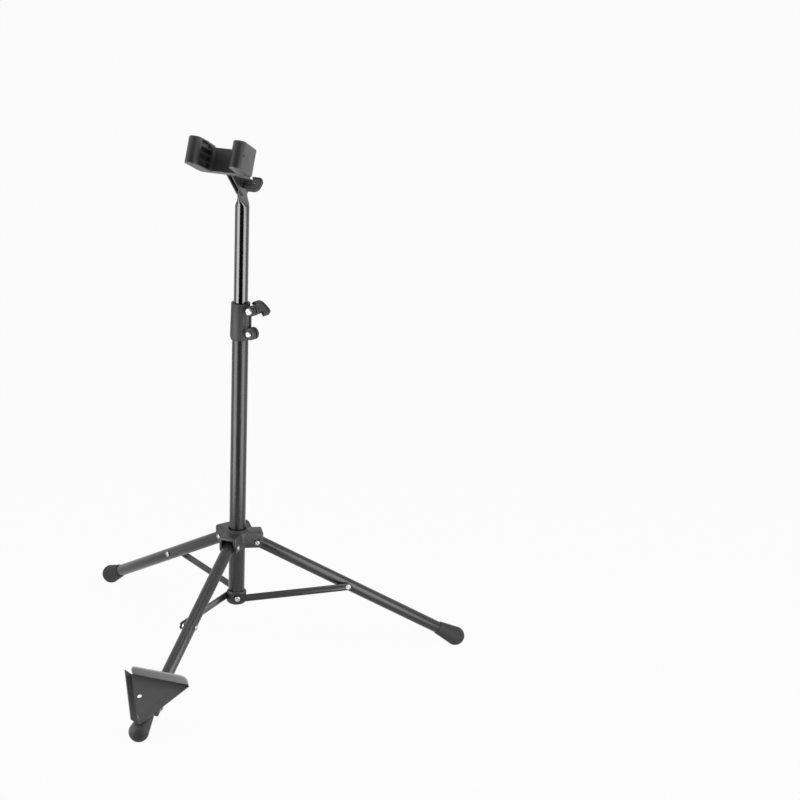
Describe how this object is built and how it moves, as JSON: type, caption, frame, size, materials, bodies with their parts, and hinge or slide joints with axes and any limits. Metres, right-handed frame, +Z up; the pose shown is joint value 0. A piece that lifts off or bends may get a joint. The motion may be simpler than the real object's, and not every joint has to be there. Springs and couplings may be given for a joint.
{
  "type": "bass clarinet stand",
  "caption": "Folding tripod floor stand with a telescoping pole, a tilting U-shaped yoke that holds the instrument and a bent tray on the front leg that carries its bell.",
  "frame": {"origin": "on the floor, in the middle of the stand's overall footprint with its legs open", "axes": "+Z up along the pole; -Y towards the front leg, its tray and the open side of the yoke; +X to the right seen from the front"},
  "size_m": [0.641, 0.5592, 0.8448],
  "materials": {
    "satin_black_paint": "satin",
    "gloss_black_paint": "gloss",
    "black_plastic": "fine moulded texture",
    "grey_plastic": "fine moulded texture",
    "black_rubber": "matt",
    "zinc_steel": "bright zinc plating"
  },
  "bodies": {
    "pole": {"lower_tube": "satin_black_paint", "bottom_bracket": "black_plastic", "bracket_rivet_front": "zinc_steel", "bracket_rivet_left": "zinc_steel", "bracket_rivet_right": "zinc_steel", "clamp_sleeve": "grey_plastic", "clamp_bolt": "zinc_steel", "clamp_screw": "zinc_steel", "clamp_nut": "zinc_steel"},
    "clamp_knob": {"clamp_knob": "black_plastic"},
    "hub": {"hub_body": "black_plastic", "hub_rivet_front": "zinc_steel", "hub_rivet_left": "zinc_steel", "hub_rivet_right": "zinc_steel"},
    "hub_knob": {"hub_knob": "black_plastic"},
    "leg_front": {"leg_tube_front": "satin_black_paint", "foot_cap_front": "black_rubber", "leg_pin_front": "zinc_steel", "bell_tray": "satin_black_paint", "tray_saddle": "black_plastic", "saddle_bolt": "zinc_steel", "saddle_nut": "zinc_steel"},
    "leg_left": {"leg_tube_left": "satin_black_paint", "foot_cap_left": "black_rubber", "leg_pin_left": "zinc_steel"},
    "leg_right": {"leg_tube_right": "satin_black_paint", "foot_cap_right": "black_rubber", "leg_pin_right": "zinc_steel"},
    "strut_front": {"strut_bar_front": "satin_black_paint", "strut_rivet_front": "zinc_steel"},
    "strut_left": {"strut_bar_left": "satin_black_paint", "strut_rivet_left": "zinc_steel"},
    "strut_right": {"strut_bar_right": "satin_black_paint", "strut_rivet_right": "zinc_steel"},
    "guide": {"guide_bush": "black_plastic"},
    "mast": {"upper_tube": "gloss_black_paint"},
    "yoke": {"yoke_shell": "grey_plastic", "yoke_fork": "satin_black_paint", "yoke_bolt": "zinc_steel", "fork_screw_left": "zinc_steel", "fork_screw_right": "zinc_steel"},
    "yoke_knob": {"yoke_knob": "black_plastic"}
  },
  "joints": [
    {"name": "hub_slide", "type": "slide", "parent": "pole", "child": "hub", "axis": [0, 0, 1], "range_m": [0, 0.245]},
    {"name": "leg_front_swing", "type": "hinge", "parent": "hub", "child": "leg_front", "pos_m": [0, 0.05856, 0.18894], "axis": [1, 0, 0], "range_deg": [0, 61.7]},
    {"name": "leg_left_swing", "type": "hinge", "parent": "hub", "child": "leg_left", "pos_m": [-0.02568, 0.10303, 0.18894], "axis": [-0.5, -0.866, 0], "range_deg": [0, 61.7]},
    {"name": "leg_right_swing", "type": "hinge", "parent": "hub", "child": "leg_right", "pos_m": [0.02568, 0.10303, 0.18894], "axis": [-0.5, 0.866, 0], "range_deg": [0, 61.7]},
    {"name": "strut_front_swing", "type": "hinge", "parent": "pole", "child": "strut_front", "pos_m": [0, 0.08821, 0.096], "axis": [-1, 0, 0], "range_deg": [0, 75.7]},
    {"name": "strut_left_swing", "type": "hinge", "parent": "pole", "child": "strut_left", "pos_m": [0, 0.08821, 0.096], "axis": [0.5, 0.866, 0], "range_deg": [0, 75.7]},
    {"name": "strut_right_swing", "type": "hinge", "parent": "pole", "child": "strut_right", "pos_m": [0, 0.08821, 0.096], "axis": [0.5, -0.866, 0], "range_deg": [0, 75.7]},
    {"name": "hub_knob_turn", "type": "hinge", "parent": "hub", "child": "hub_knob", "pos_m": [0, 0.11351, 0.19394], "axis": [0, 1, 0], "continuous": true},
    {"name": "clamp_knob_turn", "type": "hinge", "parent": "pole", "child": "clamp_knob", "pos_m": [0.02436, 0.08713, 0.565], "axis": [0.309, 0.9511, 0], "continuous": true},
    {"name": "mast_slide", "type": "slide", "parent": "pole", "child": "guide", "axis": [0, 0, 1], "range_m": [-0.11, 0.225]},
    {"name": "mast_swivel", "type": "hinge", "parent": "guide", "child": "mast", "pos_m": [0, 0.08821, 0.242], "axis": [0, 0, 1], "continuous": true},
    {"name": "yoke_tilt", "type": "hinge", "parent": "mast", "child": "yoke", "pos_m": [0, 0.08821, 0.757], "axis": [1, 0, 0], "range_deg": [-60, 40]},
    {"name": "yoke_knob_turn", "type": "hinge", "parent": "yoke", "child": "yoke_knob", "pos_m": [0.00495, 0.08821, 0.757], "axis": [1, 0, 0], "continuous": true}
  ],
  "couplings": [
    {"joint": "leg_front_swing", "follows": "hub_slide", "rad_per_m": 4.3864},
    {"joint": "leg_left_swing", "follows": "hub_slide", "rad_per_m": 4.3864},
    {"joint": "leg_right_swing", "follows": "hub_slide", "rad_per_m": 4.3864},
    {"joint": "strut_front_swing", "follows": "hub_slide", "rad_per_m": 5.3803},
    {"joint": "strut_left_swing", "follows": "hub_slide", "rad_per_m": 5.3803},
    {"joint": "strut_right_swing", "follows": "hub_slide", "rad_per_m": 5.3803}
  ]
}
